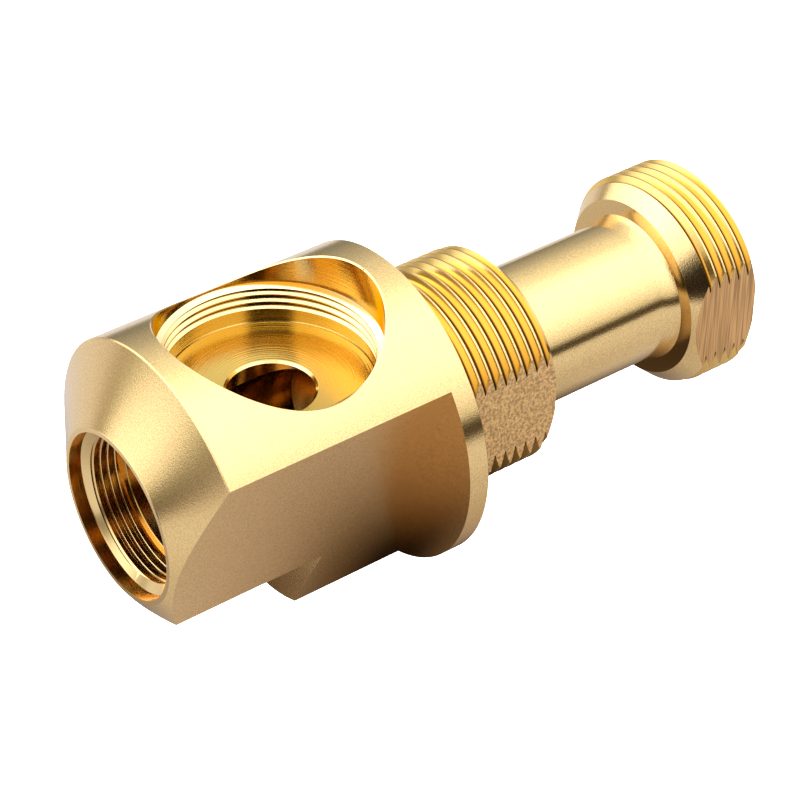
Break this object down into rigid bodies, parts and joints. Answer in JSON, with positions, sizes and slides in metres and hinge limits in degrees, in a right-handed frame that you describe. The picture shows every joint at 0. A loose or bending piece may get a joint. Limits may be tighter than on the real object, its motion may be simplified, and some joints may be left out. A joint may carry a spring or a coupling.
{
  "type": "valve body fitting",
  "caption": "Machined brass valve body with an inside-threaded socket, a threaded top port, a flange, and two outside-threaded spigots on a waisted neck.",
  "frame": {"origin": "centre of the flange face that seats on its panel, on the main axis", "axes": "+X along the main axis towards the far spigot, +Z along the top port's axis out of its mouth, -Y towards the milled flats"},
  "size_m": [0.0839, 0.0386, 0.0386],
  "materials": {
    "brass": "satin machined, bright turned"
  },
  "bodies": {
    "root": {"fitting_body": "brass"}
  },
  "joints": []
}
